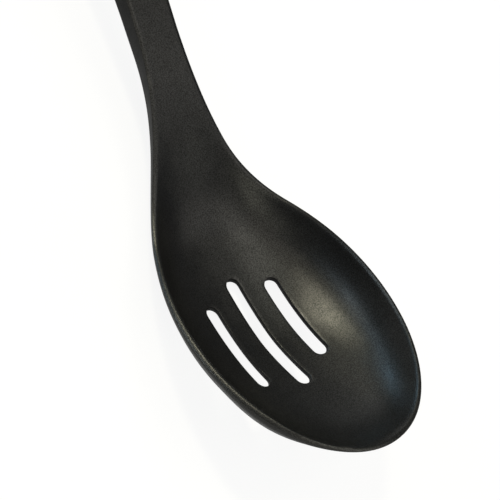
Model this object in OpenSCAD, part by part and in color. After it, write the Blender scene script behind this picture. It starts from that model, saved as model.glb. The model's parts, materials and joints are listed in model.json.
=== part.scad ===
// Slotted serving spoon at rest on a table: the bowl and the end of the handle touch Z = 0.
// X runs from the bowl's tip to the end of the handle, Y across and Z up.
// The head is drawn with its rim level and X = 0 at the tip, and the whole spoon is then tipped to its rest.

/* [Bowl] */
// Width of the bowl across its rim
bowl_width = 66; // [58:1:74]
// Distance from the tip to the widest place
bowl_front = 45.5; // [40:0.5:50]
// Depth of the dish below the rim
bowl_depth = 16; // [12:0.5:20]
// Thickness of the bowl's bottom
bowl_wall = 2.3; // [1.8:0.1:3]
// Width of the flat land on the rim
rim_land = 1.5; // [1:0.1:2.2]
// Rise of the rim at the tip
tip_rise = 1.2; // [0:0.1:3]

/* [Slots] */
// Width of each slot
slot_width = 5.5; // [4.5:0.1:6.5]
// Distance between the middles of two slots
slot_pitch = 11.6; // [10:0.1:13]
// Distance from the tip to the centre slot
centre_slot_start = 28.6; // [24:0.2:32]
// Length of the centre slot
centre_slot_length = 37.7; // [28:0.1:42]
// Distance from the tip to the side slots
side_slot_start = 33.7; // [28:0.1:38]
// Length of the side slots
side_slot_length = 27.8; // [20:0.1:32]

/* [Neck and shank] */
// Distance from the tip to the place where the neck turns up
neck_bend = 88; // [84:0.5:92]
// Half the length of that bend
neck_bend_reach = 11.5; // [8:0.5:15]
// Climb of the neck in degrees
neck_angle = 42.5; // [36:0.5:46]
// Distance from the tip to the place where the neck eases into the shank
shank_bend = 116.5; // [110:0.5:122]
// Half the length of that bend
shank_bend_reach = 7.5; // [5:0.5:10]
// Climb of the shank in degrees
shank_angle = 35.5; // [28:0.5:38]
// Distance from the tip to the end of the neck's taper
neck_end = 126; // [120:1:132]
// Distance from the tip to the place where the neck starts to thicken
thicken_start = 80; // [74:1:86]
// Width of the shank
shank_width = 14; // [12:0.5:17]
// Thickness of the shank at the handle
shank_thick = 10; // [8:0.5:12]
// Distance from the tip to the shank's shoulder
shank_end = 178; // [172:1:196]
// Distance from the tip to the bend in front of the handle
handle_bend = 150; // [142:1:154]
// Half the length of that bend
handle_bend_reach = 20; // [12:1:22]
// Climb of the handle in degrees
handle_angle = 20; // [12:0.5:26]

/* [Tang and pins] */
// Width of the tang
tang_width = 8.6; // [7:0.2:9.6]
// Thickness of the tang
tang_thick = 5; // [4:0.2:5.6]
// Diameter of the cross pins
pin_diameter = 4; // [3:0.1:4.4]
// Distance from the shoulder to the first pin
first_pin = 30; // [24:1:36]
// Distance from the second pin to the end of the tang
second_pin_inset = 16; // [12:1:22]

/* [Handle] */
// Length of the handle behind the shoulder
handle_length = 152; // [140:1:180]
// Length of the front collar
collar_length = 12; // [8:0.5:16]
// Width of the handle at both ends of the grip
handle_width = 21; // [20:0.5:24]
// Thickness of the handle at both ends of the grip
handle_thick = 15.6; // [14.6:0.2:18]
// Width that the grip swells by in its middle
grip_swell_width = 4; // [0:0.5:7]
// Thickness that the grip swells by in its middle
grip_swell_thick = 2.4; // [0:0.2:4]
// Width of the core under the grip
core_width = 16; // [14:0.5:17]
// Thickness of the core under the grip
core_thick = 10.4; // [9:0.2:11.6]
// Solid stretch of the core between the sockets for the tang and the end cap
core_web = 15; // [8:1:22]

/* [End cap] */
// Length of the end cap behind the grip
cap_length = 40; // [34:1:46]
// Diameter of the hole to hang the spoon by
hang_hole = 8; // [6:0.2:9]
// Distance from the middle of that hole to the end of the handle
hang_hole_inset = 11.5; // [10:0.5:14]
// Width that the end cap swells by round the hole
cap_swell_width = 3; // [0:0.5:5]
// Thickness of the end cap round the hole
cap_thick = 11; // [9:0.5:13]
// Length of the rounded end
cap_round = 15; // [10:0.5:18]
// Length of the tongue in the core
tongue_length = 19; // [14:0.5:22]
// Width of the tongue
tongue_width = 8; // [6:0.2:9]
// Thickness of the tongue
tongue_thick = 4.6; // [3.6:0.2:5.4]
// Distance from the end cap's face to its pin
tongue_pin = 9.5; // [7:0.5:10]

/* [Hidden] */
nylon = "#1e1f21";
hard_plastic = "#26272a";
soft_grip = "#17181a";
steel = "#b9bcc0";

// Clearances, and how far a cut runs past the piece or a tang's root into the piece that carries it
socket_gap = 0.15;
pin_gap = 0.08;
seat_gap = 0.1;
pin_flush = 0.3;
overrun = 1;
tang_root = 3;

// Form of the dish and of the sections, as powers and shares
contour_power = 2.63;
floor_power = 2.2;
wall_power = 12;
wall_share = 0.3;
neck_power = 1.77;
edge_power = 4.2;
land_share = 0.6;
handle_power = 2.6;
collar_nose_share = 0.55;
cap_end_share = 0.97;
cap_swell_share = 0.5;
cap_side_power = 2;
cap_top_power = 3.4;

// Fineness of the curved skins
front_steps = 16;
rear_steps = 42;
dish_steps = 20;
handle_sides = 28;
collar_steps = 6;
sleeve_steps = 16;
cap_steps = 18;
$fn = 48;

// Search for the tilt of the spoon at rest, in steps and degrees
settle_steps = 40;
steepest_rest = 60;

// Angle on the tip's ellipse where the skin starts
first_turn = 4;

bowl_half = bowl_width / 2;
shank_half = shank_width / 2;
shank_drop = shank_thick * cos(handle_angle);

// Places along the handle, from the shoulder
grip_end = handle_length - cap_length;
tang_length = grip_end - tongue_length - core_web;
pin_places = [first_pin, tang_length - second_pin_inset, grip_end - tongue_pin];

// Curves along the head
function smooth(u) = let (c = min(max(u, 0), 1)) c * c * (3 - 2 * c);
function bend(x, place, reach) =
    x < place - reach ? 0 : x > place + reach ? x - place : (x - place + reach) ^ 2 / (4 * reach);
function rear_taper(u) =
    let (near = (1 - u) ^ neck_power, far = u ^ neck_power) near / (near + far);
function half_width(x) =
    x < bowl_front
        ? bowl_half * sqrt(max(0, 1 - (1 - x / bowl_front) ^ 2))
        : shank_half + (bowl_half - shank_half) * rear_taper(min(1, (x - bowl_front) / (neck_end - bowl_front)));
function rim_height(x) =
    tip_rise * max(0, 1 - x / bowl_front) ^ 2
    + tan(neck_angle) * bend(x, neck_bend, neck_bend_reach)
    + (tan(shank_angle) - tan(neck_angle)) * bend(x, shank_bend, shank_bend_reach)
    + (tan(handle_angle) - tan(shank_angle)) * bend(x, handle_bend, handle_bend_reach);
function dish_fade(x) = 1 - smooth((x - neck_bend) / (neck_end - neck_bend));
function skin(x) =
    let (
        run = neck_end - thicken_start,
        climb = bend(x, thicken_start, neck_bend_reach / 2) - bend(x, neck_end, neck_bend_reach / 2)
    )
    bowl_wall + (shank_drop - bowl_wall) * climb / run;

// Depth of a dish of the given half widths at y, as a share of its full depth
function dish(y, half, widest) =
    let (r = min(1, max(0, abs(y / widest) ^ contour_power + 1 - (half / widest) ^ contour_power)))
    (1 - wall_share) * (1 - r ^ (floor_power / contour_power))
    + wall_share * (1 - r ^ (wall_power / contour_power));
function inner_half(x) = half_width(x) - min(rim_land, half_width(x) * land_share);
function inner_height(x, y) =
    rim_height(x) - bowl_depth * dish_fade(x) * dish(y, half_width(x) - rim_land, bowl_half - rim_land);
function outer_height(x, y) =
    let (w = half_width(x))
    rim_height(x) - bowl_depth * dish_fade(x) * dish(y, w, bowl_half)
    - skin(x) * max(0, 1 - abs(y / w) ^ edge_power) ^ (1 / edge_power);

// Sections lean towards square with the handle behind the neck
function lean(x) = tan(handle_angle) * smooth((x - neck_end) / (shank_end - neck_end));
function head_point(x, y, z) = [x + lean(x) * (rim_height(x) - z), y, z];
head_stations = [
    for (i = [0:front_steps])
        let (turn = first_turn + (90 - first_turn) * i / front_steps)
        bowl_front * (1 - cos(turn)),
    for (i = [1:rear_steps]) bowl_front + (shank_end - bowl_front) * i / rear_steps
];
function head_section(x) =
    let (w = half_width(x), wi = inner_half(x), z = rim_height(x))
    [
        head_point(x, w, z),
        for (j = [0:dish_steps])
            let (y = wi * cos(180 * j / dish_steps))
            head_point(x, y, inner_height(x, y)),
        head_point(x, -w, z),
        for (j = [1:dish_steps - 1])
            let (y = -w * cos(180 * j / dish_steps))
            head_point(x, y, outer_height(x, y))
    ];

// Half width and half thickness along the handle, s from the shoulder
function swell(s) =
    let (t = (s - collar_length) / (grip_end - collar_length)) sin(180 * min(max(t, 0), 1)) ^ 2;
function nose(s) = smooth(collar_nose_share + (1 - collar_nose_share) * s / collar_length);
function collar_half(s) = shank_half + (handle_width / 2 - shank_half) * nose(s);
function collar_depth(s) = shank_thick / 2 + (handle_thick - shank_thick) / 2 * nose(s);
function grip_half(s) = (handle_width + grip_swell_width * swell(s)) / 2;
function grip_depth(s) = (handle_thick + grip_swell_thick * swell(s)) / 2;
function cap_swell(s) = smooth((s - grip_end) / (cap_length * cap_swell_share));
function cap_close(s, power) =
    let (t = cap_end_share * max(0, s - handle_length + cap_round) / cap_round) (1 - t ^ power) ^ (1 / power);
function cap_half(s) =
    (handle_width + cap_swell_width * cap_swell(s)) / 2 * cap_close(s, cap_side_power);
function cap_depth(s) =
    (handle_thick + (cap_thick - handle_thick) * cap_swell(s)) / 2 * cap_close(s, cap_top_power);
function signed_power(v, power) = sign(v) * abs(v) ^ power;
function handle_section(s, half, depth) = [
    for (j = [0:handle_sides - 1])
        let (a = 360 * j / handle_sides)
        [
            s,
            half * signed_power(cos(a), 2 / handle_power),
            depth * signed_power(sin(a), 2 / handle_power)
        ]
];
function steps_between(start, end, count) = [for (i = [0:count]) start + (end - start) * i / count];
cap_stations = [
    for (s = steps_between(grip_end + seat_gap, handle_length - cap_round, cap_steps / 2)) s,
    for (i = [1:cap_steps / 2]) handle_length - cap_round * (1 - sin(180 * i / cap_steps))
];
grip_stations = steps_between(collar_length + seat_gap, grip_end, sleeve_steps);

// Rest on the table: the head's keel and the handle's underside come down to the same height
handle_origin = [
    shank_end + sin(handle_angle) * shank_thick / 2,
    0,
    rim_height(shank_end) - cos(handle_angle) * shank_thick / 2
];
function on_handle(s, z) =
    handle_origin
    + [s * cos(handle_angle) - z * sin(handle_angle), 0, s * sin(handle_angle) + z * cos(handle_angle)];
keel = [for (x = head_stations) head_point(x, 0, outer_height(x, 0))];
underside = [
    for (s = grip_stations) on_handle(s, -grip_depth(s)),
    for (s = cap_stations) on_handle(s, -cap_depth(s))
];
function tipped_x(p, pitch) = p.x * cos(pitch) + p.z * sin(pitch);
function tipped_z(p, pitch) = p.z * cos(pitch) - p.x * sin(pitch);
function lowest(points, pitch) = min([for (p = points) tipped_z(p, pitch)]);
function settle(low, high, left) =
    let (mid = (low + high) / 2)
    left == 0 ? mid
    : lowest(keel, mid) < lowest(underside, mid) ? settle(mid, high, left - 1) : settle(low, mid, left - 1);
rest_pitch = settle(0, steepest_rest, settle_steps);
rest_lift = -lowest(keel, rest_pitch);
tip_reach = min([for (p = keel) tipped_x(p, rest_pitch)]);
end_reach = max([
    for (s = cap_stations)
        for (side = [-1, 0, 1])
            tipped_x(on_handle(s, side * cap_depth(s)), rest_pitch)
]);
rest_shift = -(tip_reach + end_reach) / 2;

module resting() {
    translate([rest_shift, 0, rest_lift])
        rotate([0, rest_pitch, 0])
            children();
}

module on_the_handle() {
    resting()
        translate(handle_origin)
            rotate([0, -handle_angle, 0])
                children();
}

// Closed skin through a row of like sections, given in order along the spoon.
// Each end is a fan from the middle of its section.
function middle(section) = [for (p = section) 1] * section / len(section);
module loft(sections) {
    sides = len(sections[0]);
    last = len(sections) - 1;
    front_middle = len(sections) * sides;
    back_middle = front_middle + 1;
    walls = [
        for (i = [0:last - 1])
            for (j = [0:sides - 1])
                let (a = i * sides + j, b = i * sides + (j + 1) % sides)
                each [[a, a + sides, b], [b, a + sides, b + sides]]
    ];
    front = [for (j = [0:sides - 1]) [front_middle, j, (j + 1) % sides]];
    back = [for (j = [0:sides - 1]) [back_middle, last * sides + (j + 1) % sides, last * sides + j]];
    points = [for (section = sections) each section, middle(sections[0]), middle(sections[last])];
    polyhedron(points, concat(front, walls, back));
}

// Flat outline with round ends, from x = 0 to the given length
module round_ended(length, width) {
    translate([width / 2, 0])
        circle(d = width);
    translate([length - width / 2, 0])
        circle(d = width);
    translate([width / 2, -width / 2])
        square([length - width, width]);
}

module slot(start, length, across) {
    low = bowl_depth + bowl_wall + overrun;
    translate([start, across, -low])
        linear_extrude(low)
            round_ended(length, slot_width);
}

// Flat bar along the handle with one round end, which points back or forward
module flat_bar(start, end, width, thick) {
    round_at = end - sign(end - start) * width / 2;
    translate([0, 0, -thick / 2])
        linear_extrude(thick) {
            translate([min(start, round_at), -width / 2])
                square([abs(round_at - start), width]);
            translate([round_at, 0])
                circle(d = width);
        }
}

module cross_pin(s, diameter, length) {
    translate([s, length / 2, 0])
        rotate([90, 0, 0])
            cylinder(d = diameter, h = length);
}

module tang_bar(gap) {
    flat_bar(-tang_root, tang_length + gap, tang_width + 2 * gap, tang_thick + 2 * gap);
}

module tongue_bar(gap) {
    flat_bar(grip_end + tang_root, grip_end - tongue_length - gap, tongue_width + 2 * gap, tongue_thick + 2 * gap);
}

module pin_holes() {
    for (s = pin_places)
        cross_pin(s, pin_diameter + 2 * pin_gap, core_width + 2 * overrun);
}

// Bar with half-round edges that the sleeve fits over
module core_bar(start, end, gap) {
    thick = core_thick + 2 * gap;
    edge = core_width / 2 - core_thick / 2;
    translate([start, 0, 0])
        rotate([90, 0, 90])
            linear_extrude(end - start) {
                for (side = [-1, 1])
                    translate([side * edge, 0])
                        circle(d = thick);
                square([2 * edge, thick], center = true);
            }
}

module spoon_head() {
    color(nylon) {
        resting()
            difference() {
                loft([for (x = head_stations) head_section(x)]);
                slot(centre_slot_start, centre_slot_length, 0);
                for (side = [-1, 1])
                    slot(side_slot_start, side_slot_length, side * slot_pitch);
            }
        on_the_handle()
            difference() {
                tang_bar(0);
                pin_holes();
            }
    }
}

module front_collar() {
    color(hard_plastic)
        on_the_handle()
            difference() {
                loft([
                    for (s = steps_between(seat_gap, collar_length, collar_steps))
                        handle_section(s, collar_half(s), collar_depth(s))
                ]);
                tang_bar(socket_gap);
            }
}

module handle_core() {
    color(hard_plastic)
        on_the_handle()
            difference() {
                core_bar(collar_length + seat_gap, grip_end, 0);
                tang_bar(socket_gap);
                tongue_bar(socket_gap);
                pin_holes();
            }
}

module grip_sleeve() {
    color(soft_grip)
        on_the_handle()
            difference() {
                loft([for (s = grip_stations) handle_section(s, grip_half(s), grip_depth(s))]);
                core_bar(collar_length - overrun, grip_end + overrun, seat_gap);
            }
}

module end_cap() {
    color(hard_plastic)
        on_the_handle()
            difference() {
                union() {
                    loft([for (s = cap_stations) handle_section(s, cap_half(s), cap_depth(s))]);
                    tongue_bar(0);
                }
                translate([handle_length - hang_hole_inset, 0, -handle_thick])
                    cylinder(d = hang_hole, h = 2 * handle_thick);
                pin_holes();
            }
}

module retaining_pins() {
    color(steel)
        on_the_handle()
            for (s = pin_places)
                cross_pin(s, pin_diameter, core_width - 2 * pin_flush);
}

spoon_head();
front_collar();
handle_core();
grip_sleeve();
end_cap();
retaining_pins();
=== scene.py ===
"""Looks of a slotted serving spoon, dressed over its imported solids.

Pieces are worked out in millimetres in the head's own frame, where the bowl's rim is level and x = 0 at the
tip. They are then tipped to their rest on the table, in metres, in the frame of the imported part.
"""

import json
import logging
import math
from collections.abc import Callable
from dataclasses import dataclass, field
from enum import Enum

import bmesh
import bpy
from bmesh.types import BMEdge, BMesh, BMVert
from mathutils import Matrix, Vector


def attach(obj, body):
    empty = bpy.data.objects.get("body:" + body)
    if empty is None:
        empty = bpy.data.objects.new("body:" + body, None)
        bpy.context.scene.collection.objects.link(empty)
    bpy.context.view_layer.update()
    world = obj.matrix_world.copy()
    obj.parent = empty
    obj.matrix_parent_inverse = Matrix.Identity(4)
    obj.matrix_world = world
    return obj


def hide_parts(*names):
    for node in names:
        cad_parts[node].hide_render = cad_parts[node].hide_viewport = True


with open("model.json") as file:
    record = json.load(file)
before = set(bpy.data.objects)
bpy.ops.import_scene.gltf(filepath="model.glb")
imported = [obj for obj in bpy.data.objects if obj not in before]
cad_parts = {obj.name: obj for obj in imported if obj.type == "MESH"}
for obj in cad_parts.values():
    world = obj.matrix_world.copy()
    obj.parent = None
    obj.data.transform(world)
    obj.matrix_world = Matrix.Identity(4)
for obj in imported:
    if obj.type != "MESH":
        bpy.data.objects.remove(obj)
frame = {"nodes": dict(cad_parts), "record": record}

Colour = tuple[float, float, float]
Point = tuple[float, float, float]
Span = tuple[float, float]

LOG = logging.getLogger("spoon")
MM = 0.001  # a millimetre in metres
SLACK = 1e-4  # lengths in millimetres, and shares, under this count as nothing
SHARP_ANGLE = math.radians(42.0)  # edges that turn more than this stay crisp
FINE_ROUND = 5  # faces across a rounding that is seen
PLAIN_ROUND = 3  # faces across a small or hidden rounding
NOISE_SPAN = (0.3, 0.7)  # where most of a noise's values lie


def smooth(u: float) -> float:
    """Eases a share from 0 to 1 with level ends."""
    c = min(max(u, 0.0), 1.0)
    return c * c * (3.0 - 2.0 * c)


def smooth_over(x: float, span: Span) -> float:
    """Eases from 0 at a span's start to 1 at its end."""
    start, end = span
    return smooth((x - start) / (end - start))


def mix(first: float, second: float, share: float) -> float:
    """Value at a share of the way from the first to the second."""
    return first + (second - first) * share


def bend(x: float, place: float, reach: float) -> float:
    """Height at x of a level line that turns up to a slope of one, in a rounded bend of twice the reach."""
    if x < place - reach:
        return 0.0
    if x > place + reach:
        return x - place
    return (x - place + reach) ** 2 / (4.0 * reach)


def superellipse(share: float, power: float) -> float:
    """Height of a unit superellipse at a share of its half width."""
    return max(0.0, 1.0 - abs(share) ** power) ** (1.0 / power)


def signed_power(value: float, power: float) -> float:
    """Raises the size of a value to a power and keeps its sign."""
    return math.copysign(abs(value) ** power, value)


def stepped(start: float, *stops: tuple[float, int]) -> list[float]:
    """Places from a start over stops, each reached in its number of even steps."""
    places = [start]
    for stop, count in stops:
        last = places[-1]
        places += [last + (stop - last) * i / count for i in range(1, count + 1)]
    return places


class Loop(Enum):
    """Edges of a plan sheet that get their own rounding. Vertices inside the sheet are marked 0."""

    RIM = 1
    HOLE = 2
    END = 3


class Sides(Enum):
    """Faces of a shell whose edges are taken: True stands for the lower face and False for the upper."""

    LOWER = (True,)
    BOTH = (True, False)


@dataclass
class RoundHole:
    """Round-ended hole that takes whole cells of a plan sheet."""

    start: float
    length: float
    middle: float
    width: float

    def holds(self, x: float, y: float, room: float = 0.0) -> bool:
        """Tells whether a point lies in the hole's block of cells, or in a margin round it."""
        along = self.start - room <= x <= self.start + self.length + room
        return along and abs(y - self.middle) <= self.width / 2 + room

    def round_off(self, x: float, y: float) -> tuple[float, float]:
        """Moves a point on the block's square outline to the round-ended outline.

        Args:
            x: place along the sheet.
            y: place across the sheet.

        Returns:
            The point's new place.
        """
        radius = self.width / 2
        end = self.start + self.length
        run = min(x - self.start, end - x) / radius
        if run >= 1.0:
            return x, y
        side = (y - self.middle) / radius
        turn = math.pi / 4 * (abs(side) + max(run, 0.0))
        across = self.middle + math.copysign(radius * math.sin(turn), side)
        if x - self.start < end - x:
            return self.start + radius * (1.0 - math.cos(turn)), across
        return end - radius * (1.0 - math.cos(turn)), across

    def gap(self, x: float, y: float) -> tuple[float, Vector]:
        """Distance of a point from the round-ended outline, and the direction straight away from the hole."""
        radius = self.width / 2
        along = min(max(x, self.start + radius), self.start + self.length - radius)
        away = Vector((x - along, y - self.middle))
        return away.length - radius, away.normalized()


@dataclass
class PlanSheet:
    """Flat sheet of quads with one elliptical end, whose cells follow round-ended holes.

    The first lines across the sheet bend round the tip, and the rest are straight. The columns next to the
    middle, the field, keep their places while the sheet is wide, so that the holes' long sides lie on them.
    """

    tip: float
    tip_length: float
    tip_half: float
    half: Callable[[float], float]
    rows: list[float]
    field_lines: list[float]
    field_half: float
    holes: list[RoundHole]
    tip_rows: int = 36
    edge_columns: int = 24
    edge_pull: float = 0.85
    rim_cell: float = 0.55
    rim_cell_share: float = 0.2
    corner_turn: float = math.radians(50.0)
    relax_rounds: int = 14
    relax_pull: float = 0.5
    relax_reach: float = 4.0

    def column(self, index: int, half: float) -> float:
        """Place of a column across the sheet.

        Args:
            index: number of the column from the middle, negative on the other side.
            half: half width of the sheet there.

        Returns:
            The distance from the middle line, with its sign.
        """
        lines = len(self.field_lines) - 1
        narrow = min(1.0, half / self.field_half)
        count = abs(index)
        if count <= lines:
            return math.copysign(self.field_lines[count] * narrow, index)
        edge = self.field_lines[-1] * narrow
        share = self.pulled(count - lines, self.edge_columns, half - edge)
        return math.copysign(mix(edge, half, share), index)

    def pulled(self, index: int, count: int, length: float) -> float:
        """Share of a way to the outline at which a line lies.

        The lines lie close together near the outline, with one wider cell last.

        Args:
            index: number of the line, with count on the outline.
            count: number of lines on the way.
            length: length of the way.

        Returns:
            The share, 1 on the outline.
        """
        if index == count:
            return 1.0
        u = index / (count - 1)
        near = (1.0 - self.edge_pull) * u + self.edge_pull * math.sin(u * math.pi / 2)
        return near * (1.0 - min(self.rim_cell_share, self.rim_cell / length))

    def sag(self, y: float) -> float:
        """How far the tip's ellipse lies behind its foremost point at y."""
        return self.tip_length * (1.0 - math.sqrt(max(0.0, 1.0 - (y / self.tip_half) ** 2)))

    def point(self, row: int, index: int) -> tuple[float, float]:
        """Place in plan of one crossing of the sheet.

        Args:
            row: number of the line across, from the tip.
            index: number of the column from the middle.

        Returns:
            The crossing's x and y.
        """
        if row >= self.tip_rows:
            x = self.rows[row - self.tip_rows]
            return x, self.column(index, self.half(x))
        first = self.rows[0]
        share = 1.0 - self.pulled(self.tip_rows - row, self.tip_rows, first - self.tip)
        last_turn = math.acos(1.0 - (first - self.tip) / self.tip_length)
        turn = mix(self.corner_turn, last_turn, share)
        half = self.tip_half * math.sin(turn)
        end = self.tip + self.sag(half)
        middle = mix(self.tip, first, share)
        y = self.column(index, half)
        return middle + (end - middle) * self.sag(y) / self.sag(half), y

    def build(self) -> BMesh:
        """Makes the sheet, with its holes cut and each vertex marked with the loop that it lies on.

        Returns:
            The flat sheet at z = 0.
        """
        bm = bmesh.new()
        rows = self.tip_rows + len(self.rows) - 1
        reach = len(self.field_lines) - 1 + self.edge_columns
        bmesh.ops.create_grid(bm, x_segments=rows, y_segments=2 * reach, size=1.0)
        kind = bm.verts.layers.int.new("loop")
        for v in bm.verts:
            row = round((v.co.x + 1.0) / 2.0 * rows)
            index = round(v.co.y * reach)
            v.co.x, v.co.y = self.point(row, index)
            if row == 0 or abs(index) == reach:
                v[kind] = Loop.RIM.value
            elif row == rows:
                v[kind] = Loop.END.value
        self.cut_holes(bm)
        return bm

    def cut_holes(self, bm: BMesh) -> None:
        """Takes the holes' cells out, rounds their ends and eases the cells around them.

        Args:
            bm: the flat sheet.
        """
        kind = bm.verts.layers.int["loop"]
        gone = [f for f in bm.faces if any(h.holds(*f.calc_center_median().xy) for h in self.holes)]
        bmesh.ops.delete(bm, geom=gone, context="FACES")
        near = []
        for v in bm.verts:
            for hole in self.holes:
                if hole.holds(v.co.x, v.co.y, SLACK):
                    v.co.x, v.co.y = hole.round_off(v.co.x, v.co.y)
                    v[kind] = Loop.HOLE.value
            if not v.is_boundary and any(h.holds(v.co.x, v.co.y, self.relax_reach) for h in self.holes):
                near.append(v)
        for _ in range(self.relax_rounds):
            bmesh.ops.smooth_vert(
                bm, verts=near, factor=self.relax_pull, use_axis_x=True, use_axis_y=True, use_axis_z=False
            )


@dataclass
class Shell:
    """Solid raised from a plan sheet: an upper face, a lower face and the walls between them."""

    bm: BMesh
    lower: set[BMVert] = field(default_factory=set)

    def raise_faces(
        self, upper: Callable[[float, float], Vector], under: Callable[[float, float], Vector]
    ) -> None:
        """Gives the sheet its two faces.

        Args:
            upper: place of the upper face over a point of the sheet.
            under: place of the lower face under a point of the sheet.
        """
        made = bmesh.ops.extrude_face_region(self.bm, geom=self.bm.faces[:])["geom"]
        self.lower = {part for part in made if isinstance(part, BMVert)}
        for v in self.bm.verts:
            place = under if v in self.lower else upper
            v.co = place(v.co.x, v.co.y)
        bmesh.ops.recalc_face_normals(self.bm, faces=self.bm.faces[:])

    def paint(self, under: int, hole_walls: int) -> None:
        """Gives the lower face and the holes' walls finishes of their own.

        Args:
            under: number of the lower face's finish among the piece's finishes.
            hole_walls: number of the finish of the holes' walls.
        """
        kind = self.bm.verts.layers.int["loop"]
        for face in self.bm.faces:
            low = [v in self.lower for v in face.verts]
            if all(low):
                face.material_index = under
            elif any(low) and all(v[kind] == Loop.HOLE.value for v in face.verts):
                face.material_index = hole_walls

    def loop_edges(self, loop: Loop, sides: Sides) -> list[BMEdge]:
        """Edges that run along a kind of loop.

        Args:
            loop: the kind of loop.
            sides: the faces whose loops are taken.

        Returns:
            The loop's edges on those faces.
        """
        kind = self.bm.verts.layers.int["loop"]
        found = []
        for e in self.bm.edges:
            a, b = e.verts
            low = a in self.lower
            if a[kind] == b[kind] == loop.value and low == (b in self.lower) and low in sides.value:
                found.append(e)
        return found


def round_edges(bm: BMesh, edges: list[BMEdge], radius: float, segments: int) -> None:
    """Rounds edges of a mesh, with a number of faces across the rounding."""
    bmesh.ops.bevel(
        bm, geom=edges, offset=radius, offset_type="OFFSET", segments=segments, profile=0.5,
        affect="EDGES", material=-1, clamp_overlap=True, loop_slide=True,
    )


def edges_of(verts: list[BMVert]) -> list[BMEdge]:
    """Edges that meet vertices, each once and in the vertices' order."""
    return list(dict.fromkeys(e for v in verts for e in v.link_edges))


def add_bar(bm: BMesh, place: Matrix, span: Span, section: Span, radius: float) -> None:
    """Adds a bar with rounded edges that lies along x.

    Args:
        bm: the mesh that gets the bar.
        place: from the bar's frame to the mesh's frame.
        span: the bar's two ends.
        section: its width and its thickness.
        radius: rounding of its edges.
    """
    start, end = span
    middle = Matrix.Translation(((start + end) / 2, 0.0, 0.0))
    size = Matrix.Diagonal((end - start, *section, 1.0))
    made = bmesh.ops.create_cube(bm, size=1.0, matrix=place @ middle @ size)
    round_edges(bm, edges_of(made["verts"]), radius, PLAIN_ROUND)


def placed(name: str, data: bpy.types.ID) -> bpy.types.Object:
    """Puts a new object in the scene."""
    thing = bpy.data.objects.new(name, data)
    bpy.context.scene.collection.objects.link(thing)
    return thing


def finished(bm: BMesh, name: str, place: Matrix) -> bpy.types.Object:
    """Puts a mesh in its place and makes it an object at the origin.

    Args:
        bm: the mesh in millimetres, which is used up.
        name: the piece's name.
        place: from the mesh's frame to the part's frame.

    Returns:
        The new object.
    """
    bmesh.ops.transform(bm, matrix=place, verts=bm.verts[:])
    bmesh.ops.recalc_face_normals(bm, faces=bm.faces[:])
    for face in bm.faces:
        face.smooth = True
    mesh = bpy.data.meshes.new(name)
    bm.to_mesh(mesh)
    bm.free()
    mesh.set_sharp_from_angle(angle=SHARP_ANGLE)
    return placed(name, mesh)


def dress(piece: bpy.types.Object, finishes: list[bpy.types.Material], slot: str, *nodes: str) -> None:
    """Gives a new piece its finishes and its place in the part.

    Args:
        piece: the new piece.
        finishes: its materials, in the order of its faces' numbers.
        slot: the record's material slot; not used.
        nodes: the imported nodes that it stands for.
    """
    for finish in finishes:
        piece.data.materials.append(finish)
    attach(piece, "root")
    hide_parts(*nodes)
    LOG.info("%s: %d faces", piece.name, len(piece.data.polygons))


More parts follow.
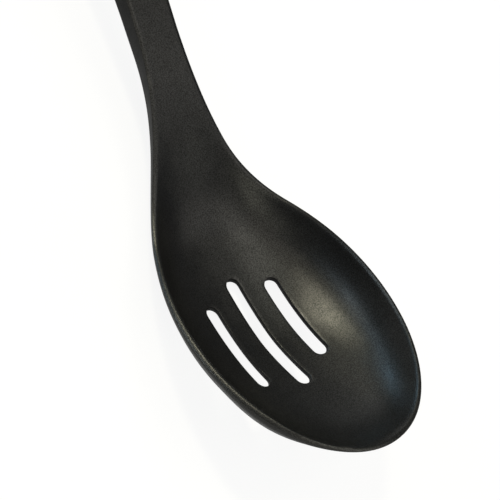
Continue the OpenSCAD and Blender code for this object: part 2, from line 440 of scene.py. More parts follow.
@dataclass
class SpoonHead:
    """Nylon moulding with the slotted bowl, the neck, the shank and the tang, in millimetres."""

    bowl_width: float = 66.0
    bowl_front: float = 45.5
    bowl_depth: float = 16.0
    bowl_wall: float = 2.28
    rim_land: float = 1.45
    land_tilt: float = 0.27
    tip_land: float = 0.5
    tip_crown: float = 0.5
    rim_edge: float = 0.75
    rim_round: float = 0.5
    rim_crown_reach: float = 2.0
    rim_crown_drop: float = 0.65
    rim_crown_tilt: float = 0.4
    crown_reach_tilt: float = 0.15
    rim_lift: float = 0.65
    lift_tilt: float = 0.15
    tip_lift: float = 0.45
    tip_reach: float = 26.0
    lift_reach: float = 7.5
    neck_lift_reach: float = 17.0
    lift_widen: Span = (58.0, 94.0)
    shank_crown_reach: float = 1.2
    shank_crown_drop: float = 0.55
    crown_grow: Span = (98.0, 120.0)
    lip_round: float = 0.65
    front_bulge: float = 1.4
    bulge_middle: float = 21.0
    bulge_reach: float = 17.5
    bulge_ease: float = 0.3
    bulge_power: float = 8.0
    tip_rise: float = 1.2
    slot_width: float = 4.3
    slot_pitch: float = 11.6
    slot_edge: float = 0.3
    slot_draft: float = 0.7
    slot_tip_draft: float = 0.0
    slot_rear_draft: float = 0.3
    slot_shift: float = 0.3
    draft_reach: float = 3.4
    centre_slot: Span = (28.6, 37.7)
    side_slot: Span = (33.7, 27.8)
    first_row: float = 27.0
    field_end: float = 68.0
    neck_bend: float = 88.0
    neck_bend_reach: float = 11.5
    neck_slope: float = math.tan(math.radians(42.5))
    shank_bend: float = 116.5
    shank_bend_reach: float = 7.5
    shank_slope: float = math.tan(math.radians(35.5))
    neck_end: float = 126.0
    thicken_start: float = 80.0
    shank_width: float = 14.0
    shank_thick: float = 10.0
    shank_end: float = 178.0
    handle_bend: float = 150.0
    handle_bend_reach: float = 20.0
    handle_angle: float = math.radians(20.0)
    tang_length: float = 78.0
    tang_root: float = 3.0
    tang_width: float = 8.6
    tang_thick: float = 5.0
    tang_round: float = 1.2
    contour_power: float = 2.63
    floor_power: float = 2.2
    wall_power: float = 12.0
    wall_share: float = 0.3
    neck_power: float = 1.77
    edge_power: float = 4.2
    plain_share: float = 0.6
    rear_rows: int = 96

    @property
    def bowl_half(self) -> float:
        """Half width of the bowl at its widest place."""
        return self.bowl_width / 2

    def front_half(self, x: float, inset: float) -> float:
        """Half width of the bowl's front, an ellipse set in from the outline."""
        run = (self.bowl_front - x) / (self.bowl_front - inset)
        return (self.bowl_half - inset) * math.sqrt(max(0.0, 1.0 - run * run))

    def half_width(self, x: float, inset: float = 0.0) -> float:
        """Half width of the head.

        Args:
            x: distance from the tip.
            inset: how far the line is set in from the outline.

        Returns:
            The half width at x.
        """
        if x < self.bowl_front:
            return self.front_half(x, inset)
        u = min(1.0, (x - self.bowl_front) / (self.neck_end - self.bowl_front))
        near = (1.0 - u) ** self.neck_power
        far = u**self.neck_power
        shank_half = self.shank_width / 2
        return shank_half + (self.bowl_half - shank_half) * near / (near + far) - inset

    def rim_height(self, x: float) -> float:
        """Height of the rim, and of the shank's upper face behind it."""
        climb = self.neck_slope * bend(x, self.neck_bend, self.neck_bend_reach)
        ease = (self.shank_slope - self.neck_slope) * bend(x, self.shank_bend, self.shank_bend_reach)
        handle_slope = math.tan(self.handle_angle)
        level = (handle_slope - self.shank_slope) * bend(x, self.handle_bend, self.handle_bend_reach)
        return self.tip_rise * max(0.0, 1.0 - x / self.bowl_front) ** 2 + climb + ease + level

    def fade(self, x: float) -> float:
        """Share of the dish's depth that is left along the neck."""
        return 1.0 - smooth_over(x, (self.neck_bend, self.neck_end))

    def skin(self, x: float) -> float:
        """Thickness of the moulding under its middle line."""
        reach = self.neck_bend_reach / 2
        climb = bend(x, self.thicken_start, reach) - bend(x, self.neck_end, reach)
        thick = self.shank_thick * math.cos(self.handle_angle)
        return self.bowl_wall + (thick - self.bowl_wall) * climb / (self.neck_end - self.thicken_start)

    def hollow(self, x: float, y: float, inset: float, lip: float) -> float:
        """Depth of the dish under the rim.

        Args:
            x: distance from the tip.
            y: distance from the middle line.
            inset: how far the dish's edge is set in from the outline.
            lip: half width of the rounding where the dish meets the rim.

        Returns:
            The depth at that point.
        """
        widest = self.bowl_half - inset
        power = self.contour_power
        inside = (max(0.0, self.half_width(x, inset)) / widest) ** power - abs(y / widest) ** power
        if lip:
            inside = bend(inside, 0.0, lip * power / widest)
        r = min(1.0, max(0.0, 1.0 - inside))
        floor = (1.0 - self.wall_share) * (1.0 - r ** (self.floor_power / power))
        wall = self.wall_share * (1.0 - r ** (self.wall_power / power))
        return self.bowl_depth * self.fade(x) * (floor + wall)

    def outline_share(self, x: float, y: float, inset: float) -> float:
        """How near a point lies to the outline: 0 on the middle line and 1 on the outline."""
        if x < self.bowl_front:
            run = (self.bowl_front - x) / (self.bowl_front - inset)
            return math.hypot(run, y / (self.bowl_half - inset))
        return abs(y) / self.half_width(x, inset)

    def crown(self, x: float, y: float) -> float:
        """Drop of the rounded rim, and of the shank's rounded upper edges, less the lift of the rim's bead.

        Args:
            x: distance from the tip.
            y: distance from the middle line.

        Returns:
            The drop at that point under the rim's height, less than nothing where the bead stands above it.
        """
        grow = smooth_over(x, self.crown_grow)
        reach = mix(self.rim_crown_reach, self.shank_crown_reach, grow)
        drop = mix(self.rim_crown_drop, self.shank_crown_drop, grow)
        share = self.outline_share(x, y, 0.0)
        out = math.hypot(max(0.0, self.bowl_front - x), y)
        gap = max(0.0, out * (1.0 / share - 1.0)) if share > SLACK else self.bowl_half
        side = y / self.bowl_half * (1.0 - grow)
        front = smooth(x / self.tip_reach)
        lift = mix(self.tip_lift, self.rim_lift - self.lift_tilt * side, front)
        lift_reach = mix(self.lift_reach, self.neck_lift_reach, smooth_over(x, self.lift_widen))
        lift *= (1.0 - grow) * smooth(1.0 - gap / lift_reach)
        drop *= 1.0 + self.rim_crown_tilt * side
        reach *= (1.0 + self.crown_reach_tilt * side) * mix(self.tip_crown, 1.0, front)
        return drop * max(0.0, 1.0 - gap / reach) ** 2 - lift

    def bulge(self, x: float, share: float) -> float:
        """Extra thickness of the wall that makes the bowl's outside fuller beside the tip."""
        along = max(0.0, 1.0 - ((x - self.bulge_middle) / self.bulge_reach) ** 2) ** 2
        ease = smooth((share - self.plain_share) / self.bulge_ease)
        return self.front_bulge * along * ease * superellipse(share, self.bulge_power)

    def leaned(self, x: float, y: float, z: float) -> Vector:
        """Leans a section towards square with the handle."""
        lean = math.tan(self.handle_angle) * smooth_over(x, (self.neck_end, self.shank_end))
        return Vector((x + lean * (self.rim_height(x) - z), y, z))

    def slid(self, x: float, y: float) -> float:
        """Slides a point with the slots, which lie a little off the middle line, and holds the outline."""
        return y + self.slot_shift * max(0.0, 1.0 - self.outline_share(x, y, self.rim_edge) ** 2)

    def upper(self, x: float, y: float) -> Vector:
        """Place of the upper face over a point of the sheet."""
        y = self.slid(x, y)
        front = mix(self.tip_land, 1.0, smooth(x / self.tip_reach))
        land = (self.rim_land + self.land_tilt * y / self.bowl_half) * front
        depth = self.hollow(x, y, land, self.lip_round) + self.crown(x, y)
        return self.leaned(x, y, self.rim_height(x) - depth)

    def drafted(self, x: float, y: float) -> tuple[float, float]:
        """Moves a point near a slot outwards, for slots that widen towards the underside.

        Args:
            x: distance from the tip.
            y: distance from the middle line.

        Returns:
            The point's place on the lower face.
        """
        for slot in self.slots():
            gap, out = slot.gap(x, y)
            if gap < self.draft_reach:
                near = (1.0 - max(0.0, gap) / self.draft_reach) ** 2
                along = self.slot_tip_draft if out.x < 0.0 else self.slot_rear_draft
                return x + out.x * along * near, y + out.y * self.slot_draft * near
        return x, y

    def under(self, x: float, y: float) -> Vector:
        """Place of the lower face under a point of the sheet, which spreads out to the outline."""
        x, y = self.drafted(x, y)
        y = self.slid(x, y)
        share = self.outline_share(x, y, self.rim_edge)
        if share > self.plain_share:
            u = min(1.0, (share - self.plain_share) / (1.0 - self.plain_share))
            grow = mix(self.plain_share, 1.0, math.sin(u * math.pi / 2)) / share
            blend = smooth(u)
            if x < self.bowl_front:
                long = 1.0 + blend * self.rim_edge / (self.bowl_front - self.rim_edge)
                wide = 1.0 + blend * self.rim_edge / (self.bowl_half - self.rim_edge)
                x = self.bowl_front - (self.bowl_front - x) * grow * long
                y = y * grow * wide
            else:
                y = y * grow * (1.0 + blend * self.rim_edge / self.half_width(x, self.rim_edge))
        depth = self.hollow(x, y, 0.0, 0.0) + self.crown(x, y)
        share = min(1.0, self.outline_share(x, y, 0.0))
        thick = self.skin(x) * superellipse(share, self.edge_power) + self.bulge(x, share)
        return self.leaned(x, y, self.rim_height(x) - depth - thick)

    def slots(self) -> list[RoundHole]:
        """The three slots of the bowl."""
        side = [RoundHole(*self.side_slot, turn * self.slot_pitch, self.slot_width) for turn in (-1, 1)]
        return [RoundHole(*self.centre_slot, 0.0, self.slot_width), *side]

    def sheet(self) -> PlanSheet:
        """Plan of the head, with its rows and columns laid along the slots."""
        radius = self.slot_width / 2
        centre_start, centre_end = self.centre_slot[0], sum(self.centre_slot)
        side_start, side_end = self.side_slot[0], sum(self.side_slot)
        rows = stepped(
            self.first_row,
            (centre_start, 2), (centre_start + radius, 3), (side_start, 3), (side_start + radius, 3),
            (side_end - radius, 22), (side_end, 3), (centre_end - radius, 2), (centre_end, 3),
            (self.field_end, 2), (self.shank_end, self.rear_rows),
        )
        lines = stepped(0.0, (radius, 3), (self.slot_pitch - radius, 6), (self.slot_pitch + radius, 6))
        return PlanSheet(
            tip=self.rim_edge,
            tip_length=self.bowl_front - self.rim_edge,
            tip_half=self.bowl_half - self.rim_edge,
            half=lambda x: self.half_width(x, self.rim_edge),
            rows=rows,
            field_lines=lines,
            field_half=self.half_width(self.field_end, self.rim_edge),
            holes=self.slots(),
        )

    def handle_place(self) -> Matrix:
        """From the handle's frame, at the shank's shoulder, to the head's frame."""
        drop = self.shank_thick / 2
        origin = (
            self.shank_end + math.sin(self.handle_angle) * drop,
            0.0,
            self.rim_height(self.shank_end) - math.cos(self.handle_angle) * drop,
        )
        return Matrix.Translation(origin) @ Matrix.Rotation(-self.handle_angle, 4, "Y")

    def add_tang(self, bm: BMesh) -> None:
        """Adds the flat tang behind the shoulder to the head's mesh."""
        span = (-self.tang_root, self.tang_length)
        add_bar(bm, self.handle_place(), span, (self.tang_width, self.tang_thick), self.tang_round)

    def build(self, rest: Matrix, finishes: list[bpy.types.Material]) -> None:
        """Makes the head.

        Args:
            rest: from the head's frame to the part's frame.
            finishes: the nylon of the upper face, of the outside and of the slots' walls.
        """
        shell = Shell(self.sheet().build())
        shell.raise_faces(self.upper, self.under)
        shell.paint(under=1, hole_walls=2)
        rim = shell.loop_edges(Loop.RIM, Sides.LOWER)
        slots = shell.loop_edges(Loop.HOLE, Sides.BOTH)
        round_edges(shell.bm, slots, self.slot_edge, PLAIN_ROUND)
        round_edges(shell.bm, [e for e in rim if e.is_valid], self.rim_round, FINE_ROUND)
        self.add_tang(shell.bm)
        dress(finished(shell.bm, "spoon_head_moulding", rest), finishes, "nylon", "spoon_head")


@dataclass
class RingSection:
    """One section of a handle piece: its place along the handle and its superellipse."""

    place: float
    half: float
    depth: float
    power: float

    def point(self, turn: float) -> Vector:
        """Point of the section at a turn round the handle."""
        share = 2.0 / self.power
        across = self.half * signed_power(math.cos(turn), share)
        return Vector((self.place, across, self.depth * signed_power(math.sin(turn), share)))


def ring_body(outer: list[RingSection], bore: Point, edge: float, sides: int = 96) -> BMesh:
    """Sleeve through rings of points: along its outside, back through its bore and closed on itself.

    Args:
        outer: sections of the outside, from the front.
        bore: half width, half thickness and power of the bore's section.
        edge: rounding of the two outer ends.
        sides: points in a ring.

    Returns:
        The closed mesh in the handle's frame.
    """
    bm = bmesh.new()
    ring = bmesh.ops.create_circle(bm, cap_ends=False, segments=sides, radius=1.0)["verts"]
    turns = [math.atan2(v.co.y, v.co.x) for v in ring]
    first = edges = edges_of(ring)
    ends = []
    for section in [*outer, *(RingSection(end.place, *bore) for end in (outer[-1], outer[0]))]:
        if section is not outer[0]:
            made = bmesh.ops.extrude_edge_only(bm, edges=edges)["geom"]
            edges = [part for part in made if isinstance(part, BMEdge)]
            new = {v for e in edges for v in e.verts}
            ring = [next(e.other_vert(v) for e in v.link_edges if e.other_vert(v) in new) for v in ring]
        for v, turn in zip(ring, turns):
            v.co = section.point(turn)
        if section is outer[0] or section is outer[-1]:
            ends += edges
    bmesh.ops.bridge_loops(bm, edges=[*first, *edges])
    bmesh.ops.recalc_face_normals(bm, faces=bm.faces[:])
    round_edges(bm, ends, edge, FINE_ROUND)
    return bm


@dataclass
class Handle:
    """Sizes that the handle's pieces share, in millimetres from the shank's shoulder."""

    length: float = 152.0
    width: float = 21.0
    thick: float = 15.6
    grip_start: float = 12.0
    grip_end: float = 112.0
    section_power: float = 2.6
    seat_gap: float = 0.1
    socket_gap: float = 0.15


@dataclass
class FrontCollar:
    """Hard ring between the shank's shoulder and the grip."""

    handle: Handle
    head: SpoonHead
    nose_share: float = 0.55
    bore_power: float = 12.0
    edge: float = 0.8
    steps: int = 12

    def section(self, s: float) -> RingSection:
        """Outside of the collar at a distance from the shoulder."""
        nose = smooth(self.nose_share + (1.0 - self.nose_share) * s / self.handle.grip_start)
        half = mix(self.head.shank_width / 2, self.handle.width / 2, nose)
        depth = mix(self.head.shank_thick / 2, self.handle.thick / 2, nose)
        return RingSection(s, half, depth, self.handle.section_power)

    def build(self, place: Matrix, finish: bpy.types.Material) -> None:
        """Makes the collar.

        Args:
            place: from the handle's frame to the part's frame.
            finish: the hard plastic.
        """
        rows = stepped(self.handle.seat_gap, (self.handle.grip_start, self.steps))
        half = self.head.tang_width / 2 + self.handle.socket_gap
        depth = self.head.tang_thick / 2 + self.handle.socket_gap
        body = ring_body([self.section(s) for s in rows], (half, depth, self.bore_power), self.edge)
        dress(finished(body, "front_collar_ring", place), [finish], "hard_plastic", "front_collar")


@dataclass
class GripSleeve:
    """Soft sleeve that swells in the hand."""

    handle: Handle
    swell_width: float = 4.0
    swell_thick: float = 2.4
    core_width: float = 16.0
    core_thick: float = 10.4
    bore_power: float = 3.6
    edge: float = 0.9
    steps: int = 60

    def section(self, s: float) -> RingSection:
        """Outside of the sleeve at a distance from the shoulder."""
        run = (s - self.handle.grip_start) / (self.handle.grip_end - self.handle.grip_start)
        swell = math.sin(math.pi * min(max(run, 0.0), 1.0)) ** 2
        half = (self.handle.width + self.swell_width * swell) / 2
        depth = (self.handle.thick + self.swell_thick * swell) / 2
        return RingSection(s, half, depth, self.handle.section_power)

    def build(self, place: Matrix, finish: bpy.types.Material) -> None:
        """Makes the sleeve.

        Args:
            place: from the handle's frame to the part's frame.
            finish: the soft grip.
        """
        rows = stepped(self.handle.grip_start + self.handle.seat_gap, (self.handle.grip_end, self.steps))
        half = self.core_width / 2 + self.handle.seat_gap
        depth = self.core_thick / 2 + self.handle.seat_gap
        body = ring_body([self.section(s) for s in rows], (half, depth, self.bore_power), self.edge)
        dress(finished(body, "grip_sleeve_skin", place), [finish], "soft_grip", "grip_sleeve")


@dataclass
class EndCap:
    """Hard end of the handle with the hole to hang the spoon by, worked out from its end forward."""

    handle: Handle
    hole: float = 8.0
    hole_inset: float = 11.5
    swell_width: float = 3.0
    swell_share: float = 0.5
    thick: float = 11.0
    end_round: float = 15.0
    top_power: float = 3.4
    edge: float = 0.8
    edge_faces: int = 4
    hole_edge: float = 0.9
    first_row: float = 6.6
    front_rows: int = 26
    tongue_length: float = 19.0
    tongue_root: float = 3.0
    tongue_width: float = 8.0
    tongue_thick: float = 4.6
    tongue_round: float = 0.8

    @property
    def front(self) -> float:
        """Distance from the handle's end to the cap's front face."""
        return self.handle.length - self.handle.grip_end - self.handle.seat_gap

    def swell(self, x: float) -> float:
        """Share of the change from the grip's section to the cap's."""
        run = self.handle.length - self.handle.grip_end
        return smooth((run - x) / (run * self.swell_share))

    def half(self, x: float) -> float:
        """Half width at a distance from the handle's end."""
        half = (self.handle.width + self.swell_width * self.swell(x)) / 2
        return half * superellipse(max(0.0, 1.0 - x / self.end_round), 2.0)

    def depth(self, x: float) -> float:
        """Half thickness at a distance from the handle's end."""
        thick = mix(self.handle.thick, self.thick, self.swell(x))
        return thick / 2 * superellipse(max(0.0, 1.0 - x / self.end_round), self.top_power)

    def face(self, x: float, y: float, side: int) -> Vector:
        """Place over a point of the sheet on the upper face, with side 1, or on the lower, with side -1."""
        half = self.half(x)
        share = min(1.0, abs(y) / half) if half > SLACK else 1.0
        z = side * self.depth(x) * superellipse(share, self.handle.section_power)
        return Vector((self.handle.length - x, y, z))

    def build(self, place: Matrix, finish: bpy.types.Material) -> None:
        """Makes the end cap.

        Args:
            place: from the handle's frame to the part's frame.
            finish: the hard plastic.
        """
        radius = self.hole / 2
        hole_start, hole_end = self.hole_inset - radius, self.hole_inset + radius
        sheet = PlanSheet(
            tip=0.0,
            tip_length=self.end_round,
            tip_half=(self.handle.width + self.swell_width) / 2,
            half=self.half,
            rows=stepped(self.first_row, (hole_start, 2), (hole_end, 8), (self.front, self.front_rows)),
            field_lines=stepped(0.0, (radius, 4)),
            field_half=self.half(self.first_row),
            holes=[RoundHole(hole_start, self.hole, 0.0, self.hole)],
            tip_rows=14,
            edge_columns=14,
            edge_pull=0.95,
            relax_reach=3.0,
        )
        shell = Shell(sheet.build())
        shell.raise_faces(lambda x, y: self.face(x, y, 1), lambda x, y: self.face(x, y, -1))
        hole = shell.loop_edges(Loop.HOLE, Sides.BOTH)
        front = shell.loop_edges(Loop.END, Sides.BOTH)
        round_edges(shell.bm, hole, self.hole_edge, FINE_ROUND)
        round_edges(shell.bm, [e for e in front if e.is_valid], self.edge, self.edge_faces)
        bmesh.ops.remove_doubles(shell.bm, verts=shell.bm.verts[:], dist=SLACK)
        self.add_tongue(shell.bm)
        dress(finished(shell.bm, "end_cap_moulding", place), [finish], "hard_plastic", "end_cap")

    def add_tongue(self, bm: BMesh) -> None:
        """Adds the tongue that goes into the core to the cap's mesh."""
        seat = self.handle.grip_end
        span = (seat - self.tongue_length, seat + self.tongue_root)
        add_bar(bm, Matrix.Identity(4), span, (self.tongue_width, self.tongue_thick), self.tongue_round)


class Noise(Enum):
    """Kinds of noise: levels of detail, and how strong each is beside the one before it."""

    MOTTLE = (4.0, 0.6)
    GRAIN = (2.0, 0.6)
    SCUFF = (6.0, 0.7)
    WAVE = (1.0, 0.5)


class NodeBench:
    """Adds linked nodes to a material."""

    def __init__(self, name: str) -> None:
        """Starts a material with its shader and the piece's own coordinates.

        Args:
            name: the material's name.
        """
        self.material = bpy.data.materials.new(name)
        self.material.use_nodes = True
        self.tree = self.material.node_tree
        self.shader = self.tree.nodes["Principled BSDF"]
        self.coordinates = self.add("ShaderNodeTexCoord").outputs["Object"]

    def fill(self, node: bpy.types.Node, inputs: dict) -> None:
        """Gives a node's inputs, by name or number, their values or links to other nodes' sockets."""
        for key, value in inputs.items():
            socket = node.inputs[key]
            if isinstance(value, bpy.types.NodeSocket):
                self.tree.links.new(value, socket)
            else:
                socket.default_value = (*value, 1.0) if socket.type == "RGBA" else value

    def add(self, kind: str, inputs: dict | None = None, **settings: object) -> bpy.types.Node:
        """Adds a node.

        Args:
            kind: the node's type.
            inputs: values or sockets for its inputs, by name or number.
            settings: the node's own options.

        Returns:
            The new node.
        """
        node = self.tree.nodes.new(kind)
        for name, value in settings.items():
            setattr(node, name, value)
        self.fill(node, inputs or {})
        return node

    def noise(self, kind: Noise, size: float) -> bpy.types.NodeSocket:
        """Noise whose patches are about a size, in millimetres."""
        detail, roughness = kind.value
        scale = 1.0 / (size * MM)
        inputs = {"Vector": self.coordinates, "Scale": scale, "Detail": detail, "Roughness": roughness}
        return self.add("ShaderNodeTexNoise", inputs).outputs["Fac"]

    def maths(self, operation: str, *values: object) -> bpy.types.NodeSocket:
        """Works out one step of arithmetic on numbers or sockets."""
        return self.add("ShaderNodeMath", dict(enumerate(values)), operation=operation).outputs[0]

    def mapped(self, source: bpy.types.NodeSocket, span: Span, to: Span) -> bpy.types.NodeSocket:
        """Maps one range of values to another, smoothly and with no overrun."""
        inputs = dict(enumerate((source, *span, *to)))
        return self.add("ShaderNodeMapRange", inputs, interpolation_type="SMOOTHSTEP").outputs[0]

    def mixed(self, share: bpy.types.NodeSocket, first: object, second: object) -> bpy.types.NodeSocket:
        """Mixes two colours, or sockets that give colours, by a share."""
        # The mix node's colours go in at 6 and 7, and come out at 2.
        return self.add("ShaderNodeMix", {0: share, 6: first, 7: second}, data_type="RGBA").outputs[2]

    def bumped(self, height: bpy.types.NodeSocket, rise: float, **bent: object) -> bpy.types.NodeSocket:
        """Bends the surface's normal, or a Normal bent already, by a map whose tops rise some millimetres."""
        inputs = {"Height": height, "Strength": 1.0, "Distance": rise * MM, **bent}
        return self.add("ShaderNodeBump", inputs).outputs["Normal"]


@dataclass(frozen=True)
class MouldedFinish:
    """Black plastic from a grained mould. Towards one end it can carry a painted reflection: a paler, less
    glossy colour that stands in for the table reflected on the bowl's outside.
    """

    name: str
    deep: Colour
    pale: Colour
    worn: Colour
    rough_low: float
    rough_high: float
    grain_size: float
    grain_rise: float
    mottle_size: float = 9.0
    wave_size: float = 14.0
    wave_rise: float = 0.02
    scuff_size: float = 5.0
    scuff_span: Span = (0.35, 0.65)
    wear_span: Span = (0.52, 0.62)
    wear_share: float = 0.7
    speck_size: float = 7.0
    speck_span: Span = (0.0, 0.03)
    speck_share: float = 0.8
    gloss: float = 0.5
    glint: float = 0.2
    sheen: float = 0.0
    reflection_paint_colour: Colour = (0.03, 0.03, 0.03)
    reflection_paint_gloss: float = 0.25
    reflection_paint_ends: Span | None = None

    def material(self) -> bpy.types.Material:
        """Makes the material.

        Returns:
            The finished material.
        """
        bench = NodeBench(self.name)
        mottle = bench.mapped(bench.noise(Noise.MOTTLE, self.mottle_size), NOISE_SPAN, (0.0, 1.0))
        colour = bench.mixed(mottle, self.deep, self.pale)
        edge = bench.add("ShaderNodeNewGeometry").outputs["Pointiness"]
        colour = bench.mixed(bench.mapped(edge, self.wear_span, (0.0, self.wear_share)), colour, self.worn)
        cells = {"Vector": bench.coordinates, "Scale": 1.0 / (self.speck_size * MM)}
        spot = bench.add("ShaderNodeTexVoronoi", cells).outputs["Distance"]
        colour = bench.mixed(bench.mapped(spot, self.speck_span, (self.speck_share, 0.0)), colour, self.worn)
        grain = bench.noise(Noise.GRAIN, self.grain_size)
        dull, bright = self.gloss * (1.0 - self.glint), self.gloss * (1.0 + self.glint)
        gloss = bench.mapped(grain, NOISE_SPAN, (dull, bright))
        # Painted reflection: towards the bowl's end the colour turns paler and the gloss drops, standing in
        # for the table reflected on the bowl's outside.
        if self.reflection_paint_ends:
            along = bench.add("ShaderNodeSeparateXYZ", {"Vector": bench.coordinates}).outputs["X"]
            colour = bench.mixed(bench.mapped(along, self.reflection_paint_ends, (1.0, 0.0)), colour, self.reflection_paint_colour)
            left = bench.mapped(along, self.reflection_paint_ends, (self.reflection_paint_gloss, 1.0))
            gloss = bench.maths("MULTIPLY", gloss, left)
        scuff = bench.noise(Noise.SCUFF, self.scuff_size)
        wave = bench.bumped(bench.noise(Noise.WAVE, self.wave_size), self.wave_rise)
        # The socket's own value is the grain's mean, for a viewer that takes no map there.
        bench.fill(bench.shader, {"Specular IOR Level": self.gloss, "Sheen Weight": self.sheen})
        bench.fill(bench.shader, {
            "Base Color": colour,
            "Specular IOR Level": gloss,
            "Roughness": bench.mapped(scuff, self.scuff_span, (self.rough_low, self.rough_high)),
            "Normal": bench.bumped(grain, self.grain_rise, Normal=wave),
        })
        return bench.material


@dataclass(frozen=True)
class DrawnSteelFinish:
    """Bright steel wire, with drawing lines along the pin."""

    name: str = "drawn_steel"
    deep: Colour = (0.42, 0.43, 0.45)
    pale: Colour = (0.62, 0.63, 0.65)
    line_width: float = 0.12
    line_length: float = 12.0
    line_detail: float = 3.0
    line_rise: float = 0.004
    rough_low: float = 0.24
    rough_high: float = 0.42

    def material(self) -> bpy.types.Material:
        """Makes the material.

        Returns:
            The finished material.
        """
        bench = NodeBench(self.name)
        fine, long = 1.0 / (self.line_width * MM), 1.0 / (self.line_length * MM)
        stretch = {"Vector": bench.coordinates, "Scale": (fine, long, fine)}
        places = bench.add("ShaderNodeMapping", stretch).outputs["Vector"]
        pattern = {"Vector": places, "Scale": 1.0, "Detail": self.line_detail}
        lines = bench.add("ShaderNodeTexNoise", pattern).outputs["Fac"]
        bench.fill(bench.shader, {
            "Base Color": bench.mixed(lines, self.deep, self.pale),
            "Roughness": bench.mapped(lines, NOISE_SPAN, (self.rough_low, self.rough_high)),
            "Normal": bench.bumped(lines, self.line_rise),
            "Metallic": 1.0,
        })
        return bench.material


NYLON = MouldedFinish(
    name="satin_nylon",
    deep=(0.0065, 0.0065, 0.0065), pale=(0.0085, 0.0084, 0.0082), worn=(0.03, 0.029, 0.027),
    rough_low=0.31, rough_high=0.37, grain_size=0.34, grain_rise=0.03, gloss=0.45, glint=0.5,
)
# The paler colour of the outside towards the bowl is a painted reflection of the table, not wear.
OUTER_NYLON = MouldedFinish(
    name="matt_outer_nylon",
    deep=(0.0065, 0.0064, 0.0061), pale=(0.008, 0.0078, 0.0074), worn=(0.03, 0.029, 0.028),
    rough_low=0.42, rough_high=0.5, grain_size=0.34, grain_rise=0.01, gloss=0.26,
    reflection_paint_colour=(0.036, 0.0355, 0.0345), reflection_paint_ends=(-0.13, -0.06),
)
SLOT_WALL = MouldedFinish(
    name="slot_wall_nylon",
    deep=(0.011, 0.011, 0.011), pale=(0.014, 0.014, 0.0138), worn=(0.03, 0.029, 0.028),
    rough_low=0.6, rough_high=0.7, grain_size=0.3, grain_rise=0.006, gloss=0.05,
)
HARD_PLASTIC = MouldedFinish(
    name="hard_plastic",
    deep=(0.009, 0.009, 0.0095), pale=(0.012, 0.012, 0.0125), worn=(0.03, 0.03, 0.031),
    rough_low=0.3, rough_high=0.38, grain_size=0.4, grain_rise=0.005,
)
SOFT_GRIP = MouldedFinish(
    name="soft_grip",
    deep=(0.008, 0.008, 0.0085), pale=(0.012, 0.012, 0.0125), worn=(0.02, 0.02, 0.02),
    rough_low=0.62, rough_high=0.78, grain_size=0.55, grain_rise=0.02, gloss=0.35, sheen=0.05,
)


class Lamp(Enum):
    """Soft discs of light round the bowl: bearing, height and width in degrees, colour and power."""

    WARM_KEY = (11.0, 51.2, 6.0, (1.0, 0.94, 0.71), 26.0)
    WARM_LOW = (11.0, 40.0, 9.0, (1.0, 0.97, 0.7), 9.8)
    CEILING_FRONT = (-37.0, 64.0, 30.0, (0.97, 1.0, 0.8), 6.1)
    CEILING_MID = (-60.0, 69.0, 20.0, (1.0, 0.95, 0.87), 5.5)
    CEILING_BACK = (-130.0, 72.0, 28.0, (1.0, 0.97, 0.87), 7.8)
    CEILING_SIDE = (-113.0, 47.0, 25.0, (1.0, 0.97, 0.9), 3.9)
    OVERHEAD = (60.0, 80.0, 30.0, (1.0, 0.91, 0.8), 4.5)
    REAR = (133.0, 54.0, 30.0, (1.0, 0.98, 0.8), 10.7)
    BACK_LOW = (-150.0, 18.0, 26.0, (1.0, 1.0, 0.88), 26.0)
    WINDOW_LEFT = (56.0, 27.0, 17.0, (0.7, 0.88, 1.0), 5.2)
    WINDOW_RIGHT = (42.0, 30.0, 14.0, (0.91, 1.0, 0.98), 6.3)
    SIDE_WALL = (26.0, 14.0, 20.0, (0.6, 0.84, 1.0), 5.5)
    DOOR = (3.0, 0.5, 20.0, (0.52, 0.8, 1.0), 17.5)
    FAR_WALL = (-18.0, 19.0, 24.0, (1.0, 0.96, 0.78), 4.5)
    FAR_LOW = (-31.0, 4.5, 12.0, (1.0, 1.0, 0.98), 1.5)


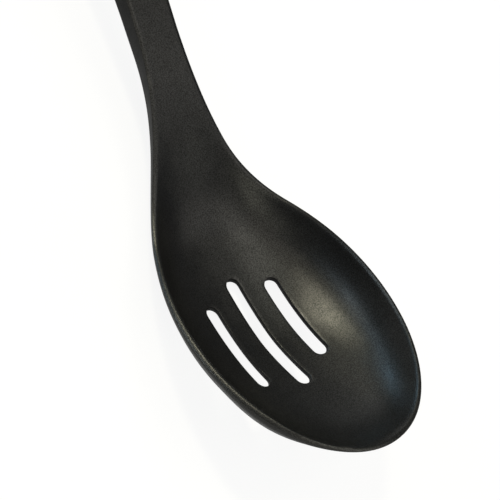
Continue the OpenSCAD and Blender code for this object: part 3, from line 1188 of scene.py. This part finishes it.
@dataclass
class Studio:
    """Floor, room and lamps round the spoon."""

    aim: Vector
    floor_reach: float = 30.0
    floor_cells: int = 8
    floor_colour: Colour = (0.86, 0.86, 0.86)
    floor_glow: float = 0.88
    floor_catch: float = 0.16
    sheet_middle: Point = (-0.16, 0.1, 0.0)
    sheet_reach: Span = (0.1, 0.2)
    far_glow: float = 0.05
    lamp_distance: float = 3.0
    room: Colour = (0.088, 0.092, 0.105)

    def build(self) -> None:
        """Makes the floor, the room's light and the lamps."""
        self.lay_floor()
        self.light_room()
        for lamp in Lamp:
            self.hang(lamp)

    def lay_floor(self) -> None:
        """Lays the pale floor under the spoon."""
        bm = bmesh.new()
        cells = self.floor_cells
        bmesh.ops.create_grid(bm, x_segments=cells, y_segments=cells, size=self.floor_reach)
        mesh = bpy.data.meshes.new("floor")
        bm.to_mesh(mesh)
        bm.free()
        mesh.materials.append(self.floor_material())
        floor = placed("floor", mesh)

    def floor_material(self) -> bpy.types.Material:
        """Makes the floor's finish.

        To the eye and in reflections it is a sheet that glows, brightest near the bowl, and keeps a little
        shadow. To light that bounces it is plain and matt.

        Returns:
            The finished material.
        """
        bench = NodeBench("pale_floor")
        bench.tree.nodes.remove(bench.shader)
        seen = bench.add("ShaderNodeLightPath").outputs
        ends = {0: bench.coordinates, 1: self.sheet_middle}
        away = bench.add("ShaderNodeVectorMath", ends, operation="DISTANCE").outputs["Value"]
        near = bench.mapped(away, self.sheet_reach, (1.0, self.far_glow))
        level = bench.maths("MAXIMUM", seen["Is Camera Ray"], near)
        bright = bench.maths("MULTIPLY", level, self.floor_glow)
        pale = bench.maths("MULTIPLY", level, self.floor_catch)
        glow = bench.add("ShaderNodeEmission", {"Strength": bright})
        catch = bench.add("ShaderNodeBsdfDiffuse", {"Color": pale})
        white = bench.add("ShaderNodeAddShader", {0: catch.outputs[0], 1: glow.outputs[0]})
        cast = bench.add("ShaderNodeBsdfDiffuse", {"Color": self.floor_colour})
        direct = seen["Is Camera Ray"]
        for ray in ("Is Glossy Ray", "Is Transmission Ray"):
            direct = bench.maths("MAXIMUM", direct, seen[ray])
        pick = bench.add("ShaderNodeMixShader", {0: direct, 1: cast.outputs[0], 2: white.outputs[0]})
        bench.fill(bench.tree.nodes["Material Output"], {"Surface": pick.outputs[0]})
        return bench.material

    def light_room(self) -> None:
        """Gives the room a dim even light."""
        world = bpy.data.worlds.new("room")
        bpy.context.scene.world = world
        world.use_nodes = True
        world.node_tree.nodes["Background"].inputs["Color"].default_value = (*self.room, 1.0)

    def hang(self, lamp: Lamp) -> None:
        """Hangs one lamp so that it faces the bowl."""
        bearing, height, width, colour, power = lamp.value
        light = bpy.data.lights.new(lamp.name.lower(), "AREA")
        light.shape = "DISK"
        light.size = 2.0 * self.lamp_distance * math.tan(math.radians(width / 2))
        light.color = colour
        light.energy = power
        level = math.cos(math.radians(height))
        turn = math.radians(bearing)
        away = Vector((level * math.cos(turn), level * math.sin(turn), math.sin(math.radians(height))))
        holder = placed(light.name, light)
        holder.location = self.aim + away * self.lamp_distance
        holder.rotation_mode = "QUATERNION"
        holder.rotation_quaternion = away.to_track_quat("Z", "Y")
        holder.visible_camera = False


@dataclass
class PhotoCamera:
    """Camera at the photograph's place, in the head's frame and in millimetres."""

    place: Point = (-29.186, 195.013, 244.553)
    aim: Point = (70.16, -8.96, -8.0)
    up: Point = (0.74485, -0.34464, 0.57134)
    lens: float = 83.63
    sensor: float = 36.0
    clip: Span = (0.01, 100.0)

    def build(self, rest: Matrix) -> None:
        """Sets the camera up.

        Args:
            rest: from the head's frame to the part's frame.
        """
        data = bpy.data.cameras.new("photo_camera")
        data.lens, data.sensor_width = self.lens, self.sensor
        data.clip_start, data.clip_end = self.clip
        back = (Vector(self.place) - Vector(self.aim)).normalized()
        right = Vector(self.up).cross(back).normalized()
        turn = Matrix((right, back.cross(right), back)).transposed().to_4x4()
        view = rest @ Matrix.Translation(self.place) @ turn
        camera = placed("photo_camera", data)
        camera.rotation_mode = "QUATERNION"
        camera.location = view.to_translation()
        camera.rotation_quaternion = view.to_quaternion()
        bpy.context.scene.camera = camera


def rest_place(head: SpoonHead, cap: EndCap) -> Matrix:
    """Finds how the spoon lies on the table from the hole that it hangs by.

    Args:
        head: the head's sizes.
        cap: the end cap's sizes.

    Returns:
        From the head's frame in millimetres to the part's frame in metres.
    """
    hole = next(m for m in frame["record"]["mounts"] if m["name"] == "hang_hole")
    pitch = head.handle_angle + math.atan2(hole["axis"][0], hole["axis"][2])
    tip = Matrix.Rotation(pitch, 4, "Y") @ Matrix.Scale(MM, 4)
    on_handle = Vector((cap.handle.length - cap.hole_inset, 0.0, 0.0))
    shift = Vector(hole["pos_m"]) - tip @ head.handle_place() @ on_handle
    return Matrix.Translation(shift) @ tip


def main() -> None:
    """Builds the spoon, its finishes, the studio and the camera."""
    logging.basicConfig(level=logging.INFO, format="%(name)s: %(message)s")
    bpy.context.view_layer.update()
    bpy.context.scene.view_settings.view_transform = "Standard"
    nylon = [finish.material() for finish in (NYLON, OUTER_NYLON, SLOT_WALL)]
    hard_plastic = HARD_PLASTIC.material()
    soft_grip = SOFT_GRIP.material()
    steel = DrawnSteelFinish().material()
    head, handle = SpoonHead(), Handle()
    cap = EndCap(handle)
    rest = rest_place(head, cap)
    on_handle = rest @ head.handle_place()
    head.build(rest, nylon)
    FrontCollar(handle, head).build(on_handle, hard_plastic)
    GripSleeve(handle).build(on_handle, soft_grip)
    cap.build(on_handle, hard_plastic)
    for name, finish in (("handle_core", hard_plastic), ("retaining_pins", steel)):
        solid = frame["nodes"][name].data
        solid.materials.clear()
        solid.materials.append(finish)
    Studio(rest @ Vector((head.bowl_front, 0.0, 0.0))).build()
    PhotoCamera().build(rest)


if __name__ == "__main__":
    main()
